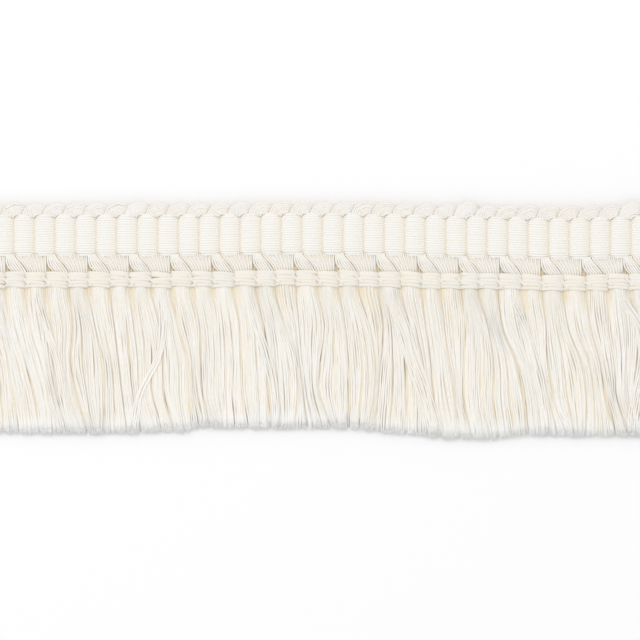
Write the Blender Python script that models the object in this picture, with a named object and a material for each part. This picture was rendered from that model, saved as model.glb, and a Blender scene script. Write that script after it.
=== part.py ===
"""A cut length of ivory cotton fringe trim, lying face up on a flat surface.

Frame: metres, +Z up out of the face, X along the trim, Y across it with the heading at +Y and
the cut ends of the fringe at -Y. The origin is under the middle of the whole trim, at its
underside. Sizes are named in millimetres, and the meshes are scaled to metres at the end.
"""

import math

import bmesh
import bpy
from mathutils import Vector

MM = 0.001

# Driving sizes along the trim, in mm. The woven ribs set the pitch of everything below them.
RIB_PITCH = 4.45
RIB_COUNT = 36
LENGTH = RIB_PITCH * RIB_COUNT
BUNDLE_COUNT = RIB_COUNT - 1
PIECE_GAP = 0.3

# Lines across the trim, in mm up and down from its middle.
LOOP_DIP_Y = 23.7
RIB_TOP_Y = 21.95
RIB_BOTTOM_Y = 13.05
KNOT_TOP_Y = 9.25
KNOT_BOTTOM_Y = 6.2
ROOT_Y = KNOT_BOTTOM_Y - PIECE_GAP
ROOT_DEPTH = 0.9

# Heights above the surface, in mm.
RIB_HEIGHT = 2.3
GROOVE_HEIGHT = 1.15
LOOP_HEIGHT = 2.0
LOOP_DIP_HEIGHT = 1.1
LOOP_DROOP = 0.55
CROSSING_HEIGHT = 2.35
CROSSING_FLOOR = 0.5
FLARE_SHARE = 0.82
KNOT_HEIGHT = 2.65
KNOT_DIP_HEIGHT = 1.3
WRAP_GROOVE = 0.25
LAYER_HEIGHT = 1.05
LAYER_GAP = 0.14
LAYER_THINNING = 0.1
LOCK_LIFT = 0.12
LOCK_LIFT_TURN = 2.4

# The loops at the top edge turn over the grooves, a little to the right of them.
LOOP_RISE = 0.95
LOOP_SHIFT = 0.11 * RIB_PITCH
TALL_LOOPS = {-9: 0.3, 7: 0.8, 15: 0.9}

# How square the ribs and the loops are: 0 is a box, and 1 a sine's dome.
RIB_FULLNESS = 0.4
LOOP_FULLNESS = 0.6

# The open row repeats over two ribs. Each line is so far right of the pair's first groove at
# the ribs, midway and at the knots, in mm.
CROSSING_LINES = {
    "leaf_left": (-1.3, -1.2, -0.2),
    "leaf_right": (0.65, 2.6, 3.25),
    "flare_right": (7.45, 7.25, 6.9),
}

# How far the strip wanders up or down from straight: x, y, in mm.
WANDER = (
    (-82, 0.0),
    (-35, 0.05),
    (-4, 0.35),
    (8, 0.25),
    (35, -0.35),
    (52, -0.7),
    (66, -0.45),
    (82, -0.25),
)

# The line that the fringe was cut along: x, y, in mm.
CUT_LINE = (
    (-86, -24.6),
    (-60, -25.0),
    (-47, -25.0),
    (-30, -24.5),
    (-26, -23.6),
    (-12, -23.9),
    (4, -23.7),
    (18, -25.0),
    (27, -26.0),
    (36, -26.2),
    (45, -25.3),
    (60, -25.6),
    (88, -25.2),
)

# The lines between the bundles of the fringe, from left to right, in mm: where each starts, how
# far it has leant to the right at a quarter, half, three quarters and all of the fringe's depth,
# and how wide the fringe opens there at the cut ends.
GAP_LINES = (
    (-77.5, 0.6, 0.9, 1.1, 1.2, 0.3),
    (-73.1, 1.4, 2.8, 3.6, 4.2, 0.6),
    (-68.6, 1.2, 3.6, 5.6, 6.7, 0.0),
    (-64.3, 1.1, 3.2, 5.1, 6.1, 0.0),
    (-59.8, 1.1, 1.5, 3.1, 5.2, 0.0),
    (-55.0, 1.3, 0.5, 1.7, 4.1, 0.2),
    (-50.7, 1.5, 3.4, 3.7, 3.5, 0.7),
    (-45.9, 0.7, 1.7, 2.6, 3.5, 0.0),
    (-41.8, 1.0, 1.6, 2.0, 4.1, 0.0),
    (-37.0, 1.6, 2.4, 2.6, 4.3, 0.0),
    (-32.7, 1.7, 3.6, 4.1, 4.8, 0.7),
    (-28.2, 1.5, 1.9, 2.2, 3.5, 0.0),
    (-23.8, 1.2, 1.7, 1.6, 2.2, 0.0),
    (-19.1, 1.3, 1.5, 1.8, 2.6, 0.4),
    (-14.3, 1.5, 2.3, 2.6, 3.0, 0.7),
    (-10.2, 1.8, 4.1, 4.8, 4.4, 0.0),
    (-5.8, 0.7, 1.2, 2.2, 3.7, 0.0),
    (-1.1, 1.5, 0.9, 0.5, 2.8, 0.0),
    (3.5, 1.5, 2.2, 2.4, 2.2, 0.7),
    (7.8, 2.1, 3.6, 3.4, 2.2, 0.0),
    (12.1, 0.9, 0.5, -0.2, -1.0, 0.3),
    (16.9, 2.0, 4.1, 5.0, 5.2, 0.0),
    (21.4, 1.1, 2.0, 2.6, 3.5, 0.8),
    (25.6, 0.9, 2.0, 3.0, 4.3, 0.0),
    (29.9, 0.9, 0.6, 0.5, 2.6, 0.0),
    (33.8, 2.2, 3.2, 3.2, 4.1, 0.3),
    (38.1, 0.9, 4.1, 5.6, 6.3, 0.8),
    (43.1, 1.3, 2.8, 4.8, 5.8, 0.0),
    (47.4, 0.9, 1.3, 2.2, 5.2, 0.0),
    (52.2, 1.1, 4.1, 5.2, 4.8, 0.0),
    (57.0, 1.1, 3.2, 4.5, 6.1, 0.8),
    (61.7, 0.2, 1.3, 1.7, 4.3, 0.0),
    (66.3, 1.9, 1.7, 1.3, 3.0, 0.4),
    (70.8, 1.3, 2.6, 3.5, 4.3, 0.0),
    (75.4, 0.7, 1.3, 1.7, 2.1, 0.0),
    (79.7, 0.1, 0.2, 0.3, 0.4, 0.0),
)

# The locks of the fringe: how much of its share of the bundle each fills, its greatest width in
# mm, and the shares of the depth where it has a section, by layer.
LOCKS_PER_BUNDLE = 4
LOCK_FILL = 0.74
LOCK_WIDEST = 1.7
UPPER_STEPS = (0.06, 0.33, 0.64, 1.0)
LOWER_STEPS = (0.5, 1.0)

IVORY = (0.93, 0.9, 0.83, 1.0)


def eased(table, x):
    """Reads a smooth curve through a table of (x, value) rows."""
    if x <= table[0][0]:
        return table[0][1]
    for (x0, y0), (x1, y1) in zip(table, table[1:]):
        if x <= x1:
            share = (x - x0) / (x1 - x0)
            share = share * share * (3 - 2 * share)
            return y0 + (y1 - y0) * share
    return table[-1][1]


def wander(x):
    """How far the strip lies above or below straight at x."""
    return eased(WANDER, x)


def arch(share, fullness=0.5):
    """A dome over 0 to 1: 0 at both ends, 1 in the middle. A lower fullness is squarer."""
    return max(0.0, math.sin(math.pi * share)) ** fullness


def cotton():
    """The one material of the trim: matt ivory cotton."""
    material = bpy.data.materials.get("ivory_cotton") or bpy.data.materials.new("ivory_cotton")
    material.use_nodes = True
    shader = material.node_tree.nodes["Principled BSDF"]
    shader.inputs["Base Color"].default_value = IVORY
    shader.inputs["Roughness"].default_value = 0.9
    shader.inputs["Metallic"].default_value = 0.0
    return material


def finish(bm, name, collection):
    """Turns a bmesh in mm into a named object in metres."""
    bmesh.ops.recalc_face_normals(bm, faces=bm.faces)
    bmesh.ops.scale(bm, vec=(MM, MM, MM), verts=bm.verts)
    mesh = bpy.data.meshes.new(name)
    bm.to_mesh(mesh)
    bm.free()
    mesh.materials.append(cotton())
    piece = bpy.data.objects.new(name, mesh)
    collection.objects.link(piece)
    return piece


def relief_slab(columns, rows, place):
    """A slab with a flat underside at z 0 and a shaped top.

    columns and rows count the faces of the top, and place(column, row) gives each of its
    points in mm.
    """
    bm = bmesh.new()
    bmesh.ops.create_grid(bm, x_segments=columns, y_segments=rows, size=1)
    long_rims = [e for e in bm.edges if e.is_boundary and e.verts[0].co.y == e.verts[1].co.y]
    for vert in bm.verts:
        column = round((vert.co.x + 1) / 2 * columns)
        row = round((vert.co.y + 1) / 2 * rows)
        vert.co = place(column, row)
    walls = bmesh.ops.extrude_edge_only(bm, edges=long_rims)["geom"]
    feet = {item for item in walls if isinstance(item, bmesh.types.BMVert)}
    for vert in feet:
        vert.co.z = 0
    edges = [item for item in walls if isinstance(item, bmesh.types.BMEdge)]
    bmesh.ops.bridge_loops(bm, edges=[edge for edge in edges if feet.issuperset(edge.verts)])
    bmesh.ops.holes_fill(bm, edges=[edge for edge in bm.edges if edge.is_boundary], sides=0)
    return bm


def build_heading(collection):
    """The woven tape: plump ribs across it, and the weft turning in loops at its top edge."""
    per_rib = 6
    edge_round, rib_end = 0.25, 0.4
    rib_rows = (
        (RIB_BOTTOM_Y, 0.55),
        (RIB_BOTTOM_Y + edge_round, 0.95),
        (RIB_TOP_Y - rib_end, 1.0),
        (RIB_TOP_Y, 0.72),
    )
    loop_rows = (0.3, 0.75, 1.0)
    rows = len(rib_rows) + len(loop_rows) - 1

    def rib_point(x, y, share, fullness):
        rise = arch(share, RIB_FULLNESS)
        top = (GROOVE_HEIGHT + (RIB_HEIGHT - GROOVE_HEIGHT) * rise) * fullness
        return Vector((x, y + wander(x), top))

    def loop_point(x, groove, share, reach):
        rise = arch(share, LOOP_FULLNESS)
        outline = LOOP_DIP_Y + (LOOP_RISE + TALL_LOOPS.get(groove, 0)) * rise
        y = RIB_TOP_Y + (outline - RIB_TOP_Y) * reach
        top = LOOP_DIP_HEIGHT + (LOOP_HEIGHT - LOOP_DIP_HEIGHT) * rise
        return Vector((x, y + wander(x), top * (1 - LOOP_DROOP * reach**4)))

    def place(column, row):
        x = column * RIB_PITCH / per_rib - LENGTH / 2
        share = (column % per_rib) / per_rib
        if row < len(rib_rows):
            return rib_point(x, rib_rows[row][0], share, rib_rows[row][1])
        reach = loop_rows[row - len(rib_rows)]
        inside = 0 < column < per_rib * RIB_COUNT
        groove = round(x / RIB_PITCH)
        return loop_point(x + LOOP_SHIFT * inside, groove, (share + 0.5) % 1, reach)

    bm = relief_slab(per_rib * RIB_COUNT, rows, place)
    return finish(bm, "heading", collection)


def crossing_columns():
    """The columns of the open row, each with its places along the trim and its relief.

    The places are those at the ribs, midway and at the knots. Columns run along the edges of
    the leaves and flares, so that their outlines stay smooth. Both ends are cut square, and no
    other column lies within end_margin of them.
    """
    leaf_left, leaf_right, flare_right = CROSSING_LINES.values()
    next_leaf = [place + 2 * RIB_PITCH for place in leaf_left]
    stretches = (
        (leaf_left, leaf_right, 4, 1.0),
        (leaf_right, flare_right, 6, FLARE_SHARE),
        (flare_right, next_leaf, 2, 0.0),
    )
    end_margin = 0.25
    half_length = LENGTH / 2
    columns = [((-half_length,) * 3, FLARE_SHARE)]
    for pair in range(-1, RIB_COUNT // 2):
        groove = (2 * pair + 1) * RIB_PITCH - half_length
        for left, right, count, height in stretches:
            for share in (step / count for step in range(count)):
                places = [groove + a + (b - a) * share for a, b in zip(left, right)]
                if max(abs(place) for place in places) < half_length - end_margin:
                    columns.append((places, height * arch(share)))
    columns.append(((half_length,) * 3, FLARE_SHARE))
    return columns


def build_crossed_loops(collection):
    """The open row where the weft bundles cross in pairs: a leaf over a gathered flare."""
    rows = 4
    top_y, bottom_y = RIB_BOTTOM_Y - PIECE_GAP, KNOT_TOP_Y + PIECE_GAP
    columns = crossing_columns()

    def place(column, row):
        down = 1 - row / rows
        places, relief = columns[column]
        x = eased(tuple(zip((0, 0.5, 1), places)), down)
        y = top_y + (bottom_y - top_y) * down
        top = CROSSING_FLOOR + (CROSSING_HEIGHT - CROSSING_FLOOR) * relief
        return Vector((x, y + wander(x), top))

    bm = relief_slab(len(columns) - 1, rows, place)
    return finish(bm, "crossed_loops", collection)


def gap_x(line, depth):
    """Where a gap line is at a share of the fringe's depth, in mm along the trim."""
    root, *leans, _ = GAP_LINES[line]
    track = [(step / 4, root + lean) for step, lean in enumerate((0, *leans))]
    return eased(track, depth)


def flow_x(bundle, across, depth):
    """Where a yarn lies along the trim.

    bundle counts from the left, across is its place in the bundle from 0 to 1, and depth
    runs from 0 at the knots to 1 at the cut ends.
    """
    opening = depth * depth / 2
    left = gap_x(bundle, depth) + GAP_LINES[bundle][-1] * opening
    right = gap_x(bundle + 1, depth) - GAP_LINES[bundle + 1][-1] * opening
    return left + (right - left) * across


def build_tie_row(collection):
    """The row of knots: each bundle bound by three turns of tying yarn."""
    per_knot = 4
    edge_groove = 8 / 3
    grooves = (edge_groove, 0, 1, 0, 1, 0, edge_groove)
    rows = len(grooves) - 1

    def place(column, row):
        bundle, step = divmod(column, per_knot)
        if bundle == BUNDLE_COUNT:
            bundle, step = BUNDLE_COUNT - 1, per_knot
        share = step / per_knot
        x = flow_x(bundle, share, 0)
        y = KNOT_BOTTOM_Y + (KNOT_TOP_Y - KNOT_BOTTOM_Y) * row / rows
        top = KNOT_DIP_HEIGHT + (KNOT_HEIGHT - KNOT_DIP_HEIGHT) * arch(share)
        return Vector((x, y + wander(x), top - WRAP_GROOVE * grooves[row]))

    bm = relief_slab(per_knot * BUNDLE_COUNT, rows, place)
    return finish(bm, "tie_row", collection)


def build_fringe(collection):
    """Loose locks of yarn in two layers, fused at their roots into one narrow strip."""
    per_row = LOCKS_PER_BUNDLE * BUNDLE_COUNT
    bm = bmesh.new()
    bmesh.ops.create_grid(bm, x_segments=per_row, y_segments=2, size=1)

    def root_x(column):
        bundle, step = divmod(column, LOCKS_PER_BUNDLE)
        if bundle == BUNDLE_COUNT:
            bundle, step = BUNDLE_COUNT - 1, LOCKS_PER_BUNDLE
        return flow_x(bundle, step / LOCKS_PER_BUNDLE, 0)

    slots = {}
    for face in bm.faces:
        middle = face.calc_center_median()
        column = math.floor((middle.x + 1) / 2 * per_row)
        slots[face] = (column, middle.y > 0)
    for vert in bm.verts:
        x = root_x(round((vert.co.x + 1) / 2 * per_row))
        layer = round(vert.co.y + 1)
        vert.co = Vector((x, ROOT_Y - ROOT_DEPTH + wander(x), layer * LAYER_HEIGHT))

    back = bmesh.ops.extrude_face_region(bm, geom=list(bm.faces))["geom"]
    for vert in (item for item in back if isinstance(item, bmesh.types.BMVert)):
        vert.co.y += ROOT_DEPTH
    for face, (column, upper) in slots.items():
        grow_lock(bm, face, column, upper)
    return finish(bm, "fringe", collection)


def grow_lock(bm, face, column, upper):
    """Draws one lock out of its root face, down to the cut line."""
    bundle, place = divmod(column, LOCKS_PER_BUNDLE)
    across = (place + 0.5) / LOCKS_PER_BUNDLE
    lift = LOCK_LIFT * math.sin(LOCK_LIFT_TURN * column) if upper else 0.0
    for depth in UPPER_STEPS if upper else LOWER_STEPS:
        x = flow_x(bundle, across, depth)
        spacing = (flow_x(bundle, 1, depth) - flow_x(bundle, 0, depth)) / LOCKS_PER_BUNDLE
        half = min(spacing * LOCK_FILL, LOCK_WIDEST) / 2
        start, stop = ROOT_Y - ROOT_DEPTH + wander(x), eased(CUT_LINE, x)
        y = start + (stop - start) * depth
        low = LAYER_HEIGHT + LAYER_GAP + lift * depth if upper else 0.0
        high = low + LAYER_HEIGHT - LAYER_GAP - LAYER_THINNING * depth
        face = bmesh.ops.extrude_discrete_faces(bm, faces=[face])["faces"][0]
        middle = face.calc_center_median()
        for vert in face.verts:
            side = 1 if vert.co.x > middle.x else -1
            vert.co = Vector((x + side * half, y, high if vert.co.z > middle.z else low))


def centre_on_origin(pieces):
    """Moves every mesh so that the whole trim is centred over the origin."""
    corners = [vert.co for piece in pieces for vert in piece.data.vertices]
    shift = Vector(
        [-(min(c[i] for c in corners) + max(c[i] for c in corners)) / 2 for i in (0, 1)] + [0]
    )
    for piece in pieces:
        for vert in piece.data.vertices:
            vert.co += shift


def main():
    """Builds the trim in an empty scene."""
    for old in list(bpy.data.objects):
        bpy.data.objects.remove(old)
    collection = bpy.data.collections.new("fringe_trim")
    bpy.context.scene.collection.children.link(collection)
    makers = (build_heading, build_crossed_loops, build_tie_row, build_fringe)
    centre_on_origin([maker(collection) for maker in makers])


main()
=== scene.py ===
"""The looks of a cut length of ivory cotton fringe trim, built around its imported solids.

Every yarn is a tube of its own: the warp that wraps the ribs of the heading, the weft that turns
over at its top edge and crosses in pairs below it, the turns of the tying yarn, and the loose
yarns of the fringe. Sizes are in millimetres in the trim's own layout, which is that of its
solids, and each mesh goes into the frame in metres as it is made.
"""

import logging
import math
import random
from collections.abc import Callable, Sequence
from dataclasses import dataclass, field
from enum import Enum

import bmesh
import bpy
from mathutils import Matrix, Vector, noise

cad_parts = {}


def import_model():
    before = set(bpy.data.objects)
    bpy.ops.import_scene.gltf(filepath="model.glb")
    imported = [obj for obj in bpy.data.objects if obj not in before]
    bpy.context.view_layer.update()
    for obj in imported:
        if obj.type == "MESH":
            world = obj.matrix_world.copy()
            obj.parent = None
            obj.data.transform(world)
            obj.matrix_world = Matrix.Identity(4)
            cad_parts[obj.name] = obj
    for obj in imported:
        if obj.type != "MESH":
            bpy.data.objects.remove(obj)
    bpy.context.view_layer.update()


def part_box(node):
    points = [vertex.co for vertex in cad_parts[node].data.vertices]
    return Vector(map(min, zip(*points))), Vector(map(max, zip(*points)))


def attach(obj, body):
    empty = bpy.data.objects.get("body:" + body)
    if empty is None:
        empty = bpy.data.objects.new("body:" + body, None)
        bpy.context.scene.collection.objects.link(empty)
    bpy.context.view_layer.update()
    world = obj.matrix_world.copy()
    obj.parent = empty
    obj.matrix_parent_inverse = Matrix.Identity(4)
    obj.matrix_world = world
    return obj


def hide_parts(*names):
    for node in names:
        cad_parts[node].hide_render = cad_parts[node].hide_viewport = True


LOG = logging.getLogger("fringe_trim")
MM = 0.001
BODY = "root"

ALONG = Vector((1, 0, 0))
ACROSS = Vector((0, 1, 0))
UP = Vector((0, 0, 1))
# How far apart the twists of two yarns may start, in mm.
TWIST_STARTS = 9

Table = Sequence[Sequence[float]]


def eased(table: Table, x: float) -> float:
    """Reads a smooth curve through a table of (x, value) rows.

    Args:
        table: the rows, in rising order of x.
        x: where to read it.

    Returns:
        The value there, held level past both ends.
    """
    if x <= table[0][0]:
        return table[0][1]
    for (x0, y0), (x1, y1) in zip(table, table[1:]):
        if x <= x1:
            share = smooth((x - x0) / (x1 - x0))
            return y0 + (y1 - y0) * share
    return table[-1][1]


def flowing(values: Sequence[float], share: float) -> float:
    """Reads a curve that flows through evenly spaced values.

    Args:
        values: the values, at least two.
        share: how far along them to read, from 0 to 1.

    Returns:
        The value there.
    """
    place = min(max(share, 0.0), 1.0) * (len(values) - 1)
    step = min(int(place), len(values) - 2)
    here, after = values[step], values[step + 1]
    before = values[step - 1] if step else here
    beyond = values[step + 2] if step + 2 < len(values) else after
    t = place - step
    rise = after - before
    bend = 2 * before - 5 * here + 4 * after - beyond
    twist = 3 * (here - after) + beyond - before
    return here + t * (rise + t * (bend + t * twist)) / 2


def smooth(share: float) -> float:
    """A share from 0 to 1, eased at both ends."""
    share = min(1.0, max(0.0, share))
    return share * share * (3 - 2 * share)


def arch(share: float, fullness: float = 0.5) -> float:
    """A dome over 0 to 1: 0 at both ends, 1 in the middle. A lower fullness is squarer."""
    return max(0.0, math.sin(math.pi * share)) ** fullness


def mix(low: float, high: float, share: float) -> float:
    """The value that share of the way from low to high."""
    return low + (high - low) * share


def even_shares(count: int) -> list[float]:
    """That many shares, evenly spaced from 0 to 1."""
    return [step / (count - 1) for step in range(count)]


def stray(rng: random.Random, most: float) -> float:
    """A random step either way, at most that far."""
    return rng.uniform(-most, most)


# How far the strip wanders up or down from straight: x, y.
WANDER = (
    (-82, 0.0),
    (-35, 0.05),
    (-4, 0.35),
    (8, 0.25),
    (35, -0.35),
    (52, -0.7),
    (66, -0.45),
    (82, -0.25),
)

# The line that the fringe was cut along: x, y.
CUT_LINE = (
    (-86, -24.6),
    (-60, -25.0),
    (-47, -25.0),
    (-30, -24.5),
    (-26, -23.6),
    (-12, -23.9),
    (4, -23.7),
    (18, -25.0),
    (27, -26.0),
    (36, -26.2),
    (45, -25.3),
    (60, -25.6),
    (88, -25.2),
)

# The lines between the bundles of the fringe, from left to right: where each starts, how far it
# has leant to the right at a quarter, half, three quarters and all of the fringe's depth, and
# how wide the fringe opens there at the cut ends.
GAP_LINES = (
    (-77.5, 0.6, 0.9, 1.1, 1.2, 0.3),
    (-73.1, 1.4, 2.8, 3.6, 4.2, 0.6),
    (-68.6, 1.2, 3.6, 5.6, 6.7, 0.0),
    (-64.3, 1.1, 3.2, 5.1, 6.1, 0.0),
    (-59.8, 1.1, 1.5, 3.1, 5.2, 0.0),
    (-55.0, 1.3, 0.5, 1.7, 4.1, 0.2),
    (-50.7, 1.5, 3.4, 3.7, 3.5, 0.7),
    (-45.9, 0.7, 1.7, 2.6, 3.5, 0.0),
    (-41.8, 1.0, 1.6, 2.0, 4.1, 0.0),
    (-37.0, 1.6, 2.4, 2.6, 4.3, 0.0),
    (-32.7, 1.7, 3.6, 4.1, 4.8, 0.7),
    (-28.2, 1.5, 1.9, 2.2, 3.5, 0.0),
    (-23.8, 1.2, 1.7, 1.6, 2.2, 0.0),
    (-19.1, 1.3, 1.5, 1.8, 2.6, 0.4),
    (-14.3, 1.5, 2.3, 2.6, 3.0, 0.7),
    (-10.2, 1.8, 4.1, 4.8, 4.4, 0.0),
    (-5.8, 0.7, 1.2, 2.2, 3.7, 0.0),
    (-1.1, 1.5, 0.9, 0.5, 2.8, 0.0),
    (3.5, 1.5, 2.2, 2.4, 2.2, 0.7),
    (7.8, 2.1, 3.6, 3.4, 2.2, 0.0),
    (12.1, 0.9, 0.5, -0.2, -1.0, 0.3),
    (16.9, 2.0, 4.1, 5.0, 5.2, 0.0),
    (21.4, 1.1, 2.0, 2.6, 3.5, 0.8),
    (25.6, 0.9, 2.0, 3.0, 4.3, 0.0),
    (29.9, 0.9, 0.6, 0.5, 2.6, 0.0),
    (33.8, 2.2, 3.2, 3.2, 4.1, 0.3),
    (38.1, 0.9, 4.1, 5.6, 6.3, 0.8),
    (43.1, 1.3, 2.8, 4.8, 5.8, 0.0),
    (47.4, 0.9, 1.3, 2.2, 5.2, 0.0),
    (52.2, 1.1, 4.1, 5.2, 4.8, 0.0),
    (57.0, 1.1, 3.2, 4.5, 6.1, 0.8),
    (61.7, 0.2, 1.3, 1.7, 4.3, 0.0),
    (66.3, 1.9, 1.7, 1.3, 3.0, 0.4),
    (70.8, 1.3, 2.6, 3.5, 4.3, 0.0),
    (75.4, 0.7, 1.3, 1.7, 2.1, 0.0),
    (79.7, 0.1, 0.2, 0.3, 0.4, 0.0),
)

# Locks that fall across their neighbours: the bundle that each comes from, how far it has leant
# at the same four depths, and how many yarns it has.
CROSSING_LOCKS = (
    (20, 2.7, 5.0, 7.6, 9.6, 8),
    (31, 4.6, 5.3, 4.2, 3.4, 6),
    (9, 0.3, -0.8, -4.6, -6.0, 4),
    (3, 2.2, 4.6, 6.0, 7.4, 4),
    (13, 2.4, 4.6, 6.2, 6.6, 4),
    (26, 3.2, 5.4, 7.0, 8.0, 4),
)

# The open row repeats over two ribs. Each line is so far right of the pair's first groove at
# the ribs, midway and at the knots.
CROSSING_LINES = {
    "leaf_left": (-1.75, -1.65, -0.3),
    "leaf_right": (0.15, 1.8, 2.95),
    "flare_left": (0.3, 2.03, 3.1),
    "flare_right": (7.05, 7.05, 6.95),
}


@dataclass(frozen=True)
class Layout:
    """The trim's driving sizes, as its solids have them, and its place in the frame.

    Attributes:
        rib_pitch: from one rib of the tape to the next.
        rib_count: how many ribs it has.
        loop_dip_y: where the outline dips between two top loops.
        rib_top_y: where the ribs end at the top.
        rib_bottom_y: where they end at the open row.
        knot_top_y: where the knots begin.
        knot_bottom_y: where they end.
        rib_height: of the ribs above the surface.
        knot_height: of the knots.
        split: how wide the fringe parts along every gap line.
    """

    rib_pitch: float = 4.45
    rib_count: int = 36
    loop_dip_y: float = 23.7
    rib_top_y: float = 21.95
    rib_bottom_y: float = 13.05
    knot_top_y: float = 9.25
    knot_bottom_y: float = 6.2
    rib_height: float = 2.3
    knot_height: float = 2.65
    split: float = 0.2

    @property
    def half_length(self) -> float:
        """Half of the trim's length."""
        return self.rib_pitch * self.rib_count / 2

    @property
    def bundle_count(self) -> int:
        """How many bundles hang below the knots."""
        return self.rib_count - 1

    @property
    def ground_top_y(self) -> float:
        """Where the woven ground ends, just below the dips between the top loops."""
        return self.loop_dip_y - 0.3

    @property
    def tape_width(self) -> float:
        """The woven ground's flat width."""
        return self.ground_top_y - self.rib_bottom_y

    def origin_shift(self) -> Vector:
        """How far the solids lie from the layout, read from the heading's solid."""
        low, high = (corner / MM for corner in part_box("heading"))
        lowest = self.rib_bottom_y + min(row[1] for row in WANDER)
        return Vector(((low.x + high.x) / 2, low.y - lowest, 0))

    def wander(self, x: float) -> float:
        """How far the strip lies above or below straight at x."""
        return eased(WANDER, x)

    def point(self, x: float, y: float, z: float) -> Vector:
        """A point that wanders with the strip."""
        return Vector((x, y + self.wander(x), z))

    def inside(self, x: float) -> float:
        """A place along the trim, held between its two cut ends."""
        return min(max(x, -self.half_length), self.half_length)

    def gap_x(self, line: int, depth: float) -> float:
        """Where a gap line lies at a share of the fringe's depth."""
        root, *leans, _ = GAP_LINES[line]
        return root + flowing((0.0, *leans), depth)

    def flow_x(self, bundle: int, across: float, depth: float, parted: float = 1.0) -> float:
        """Where a yarn of the fringe lies along the trim.

        Args:
            bundle: counted from the left.
            across: the yarn's place in the bundle, from 0 to 1.
            depth: from 0 at the knots to 1 at the cut ends.
            parted: how far the fringe opens there, as a share.

        Returns:
            The place along the trim.
        """
        openings = [
            parted * (self.split + GAP_LINES[line][-1] * depth * depth) / 2
            for line in (bundle, bundle + 1)
        ]
        left = self.gap_x(bundle, depth) + openings[0]
        right = self.gap_x(bundle + 1, depth) - openings[1]
        return mix(left, right, across)


@dataclass
class Yarn:
    """One yarn, or a tube like one.

    Attributes:
        route: the points that it runs through.
        across: the direction of its width.
        half_width: half its width.
        half_height: half its height, square to the width.
        tone: from 0, tan with painted shade, to 1, clean; it holds painted shade as well as random
            differences between yarns.
        swell: its thickness at each point, as a share.
        tones: how clean it is at each point, as a share of its tone: painted shade in and under
            the ribs, and painted light at the fringe's cut ends.
        phase: where its twist starts, in mm.
    """

    route: list[Vector]
    across: Vector
    half_width: float
    half_height: float
    tone: float = 1.0
    swell: Sequence[float] = ()
    tones: Sequence[float] = ()
    phase: float = 0.0

    def tone_at(self, step: int, outward: Vector) -> float:
        """How clean it is at a point, with painted shade on the side that faces down.

        Args:
            step: the point.
            outward: from the middle of the yarn to that side.

        Returns:
            The tone.
        """
        # Painted shade: a yarn's sides and underside go towards the shaded colour, the more so the
        # further down they face.
        underside_shade, level = 0.55, 0.3
        share = self.tones[step] if self.tones else 1.0
        upward = outward.normalized().z
        return self.tone * share * mix(underside_shade, 1.0, smooth(mix(level, 1.0, upward)))

    def rings(self) -> list[tuple[Vector, Vector, Vector, float]]:
        """Each point with its width and height vectors and the length of yarn before it."""
        rings = []
        along = self.phase
        for step, point in enumerate(self.route):
            before = self.route[max(step - 1, 0)]
            after = self.route[min(step + 1, len(self.route) - 1)]
            tangent = (after - before).normalized()
            width = (self.across - tangent * self.across.dot(tangent)).normalized()
            height = tangent.cross(width)
            scale = self.swell[step] if self.swell else 1.0
            if step:
                along += (point - before).length
            rings.append(
                (point, width * self.half_width * scale, height * self.half_height * scale, along)
            )
        return rings


def add_object(name: str, data: bpy.types.ID) -> bpy.types.Object:
    """Adds an object to the scene.

    Args:
        name: its name.
        data: its mesh, light or camera.

    Returns:
        The object.
    """
    thing = bpy.data.objects.new(name, data)
    bpy.context.scene.collection.objects.link(thing)
    return thing


def mesh_object(name: str, bm: bmesh.types.BMesh) -> bpy.types.Object:
    """Makes a smooth-shaded object of a bmesh that is already in the frame.

    Args:
        name: the object's name.
        bm: its mesh, which is freed.

    Returns:
        The object.
    """
    mesh = bpy.data.meshes.new(name)
    bm.to_mesh(mesh)
    bm.free()
    mesh.shade_smooth()
    LOG.info("%s: %d faces", name, len(mesh.polygons))
    return add_object(name, mesh)


@dataclass
class Spinner:
    """Spins yarns of one point count into one mesh, all of them a ring at a time.

    Attributes:
        shift: from the layout to the frame, in mm.
    """

    shift: Vector

    def spin(self, name: str, yarns: list[Yarn], sides: int = 5) -> bpy.types.Object:
        """Grows the yarns as closed tubes.

        Each point keeps its turn about the yarn and its length along it, in the attribute
        yarn_turn, and the yarn's tone, with its painted shade, in yarn_tone.

        Args:
            name: the piece's name.
            yarns: the yarns, all with the same number of points.
            sides: how many sides each has.

        Returns:
            The new object, at the origin, in metres.
        """
        bm = bmesh.new()
        yarn_layer = bm.verts.layers.int.new("yarn_number")
        side_layer = bm.verts.layers.int.new("yarn_side")
        turn_layer = bm.verts.layers.float_vector.new("yarn_turn")
        tone_layer = bm.verts.layers.float.new("yarn_tone")
        for number in range(len(yarns)):
            ring = bmesh.ops.create_circle(bm, cap_ends=True, segments=sides, radius=1)
            for side, vert in enumerate(ring["verts"]):
                vert[yarn_layer] = number
                vert[side_layer] = side
        rings = [yarn.rings() for yarn in yarns]
        ends = list(bm.faces)
        for step in range(len(rings[0])):
            if step == 1:
                grown = bmesh.ops.extrude_face_region(bm, geom=ends)["geom"]
                ends = [item for item in grown if isinstance(item, bmesh.types.BMFace)]
            elif step:
                ends = bmesh.ops.extrude_discrete_faces(bm, faces=ends)["faces"]
            for vert in (vert for end in ends for vert in end.verts):
                point, width, height, along = rings[vert[yarn_layer]][step]
                angle = math.pi / 2 + math.tau * vert[side_layer] / sides
                cosine, sine = math.cos(angle), math.sin(angle)
                outward = width * cosine + height * sine
                vert.co = (point + outward + self.shift) * MM
                vert[turn_layer] = Vector((cosine, sine, along))
                # The tone, with its painted shade on the yarn's underside.
                vert[tone_layer] = yarns[vert[yarn_layer]].tone_at(step, outward)
        bmesh.ops.recalc_face_normals(bm, faces=bm.faces)
        for label in ("yarn_number", "yarn_side"):
            bm.verts.layers.int.remove(bm.verts.layers.int[label])
        return mesh_object(name, bm)


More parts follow.
